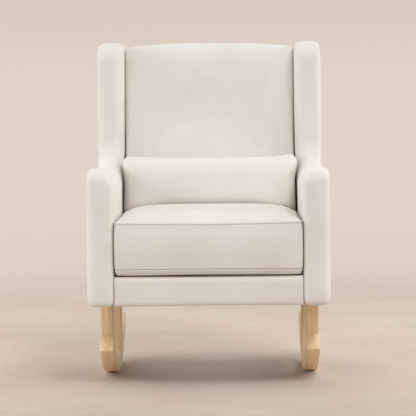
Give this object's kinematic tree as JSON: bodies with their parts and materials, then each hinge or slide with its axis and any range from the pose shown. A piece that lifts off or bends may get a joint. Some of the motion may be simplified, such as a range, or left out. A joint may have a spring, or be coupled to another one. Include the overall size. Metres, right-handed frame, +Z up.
{
  "type": "upholstered rocker",
  "caption": "Wing-back upholstered rocking chair with loose seat cushion and lumbar pillow on curved wooden runners",
  "frame": {"origin": "middle of the footprint on the floor, under the bounding box", "axes": "+X towards the sitter's left, +Y towards the back, +Z up; the front faces -Y"},
  "size_m": [0.72, 0.8499, 1.04],
  "materials": {
    "upholstery": "ivory woven cover over padding",
    "oak": "light oak, clear satin",
    "frame_wood": "plain sawn, hidden under the cover",
    "steel": "zinc grey",
    "webbing": "woven jute",
    "deck_cloth": "plain cotton over felt",
    "dust_cloth": "black non-woven",
    "foam": "cut foam and fibre"
  },
  "bodies": {
    "frame": {"back_bolts": "steel", "back_bottom_rail": "frame_wood", "back_top_pad": "upholstery", "back_top_rail": "frame_wood", "back_webbing": "webbing", "dust_cover": "dust_cloth", "front_border": "upholstery", "front_seat_rail": "frame_wood", "inside_back": "upholstery", "left_back_post": "frame_wood", "left_front_leg": "oak", "left_rear_leg": "oak", "left_runner": "oak", "left_seat_rail": "frame_wood", "left_side_frame": "frame_wood", "left_side_upholstery": "upholstery", "left_wing_pad": "upholstery", "leg_bolts": "steel", "leg_dowels": "frame_wood", "outside_back": "upholstery", "rear_seat_rail": "frame_wood", "right_back_post": "frame_wood", "right_front_leg": "oak", "right_rear_leg": "oak", "right_runner": "oak", "right_seat_rail": "frame_wood", "right_side_frame": "frame_wood", "right_side_upholstery": "upholstery", "right_wing_pad": "upholstery", "seat_corner_blocks": "frame_wood", "seat_deck": "deck_cloth", "seat_webbing_cross": "webbing", "seat_webbing_long": "webbing", "side_bolts": "steel"},
    "seat_cushion": {"seat_cushion_cover": "upholstery", "seat_cushion_foam": "foam"},
    "lumbar_pillow": {"lumbar_pillow_cover": "upholstery", "lumbar_pillow_fill": "foam"}
  },
  "joints": [
    {"name": "seat_cushion_lift", "type": "slide", "parent": "frame", "child": "seat_cushion", "axis": [0, -0.7071, 0.7071], "range_m": [0, 0.6]},
    {"name": "lumbar_pillow_lift", "type": "slide", "parent": "seat_cushion", "child": "lumbar_pillow", "axis": [0, -0.5, 0.866], "range_m": [0, 0.5]}
  ]
}
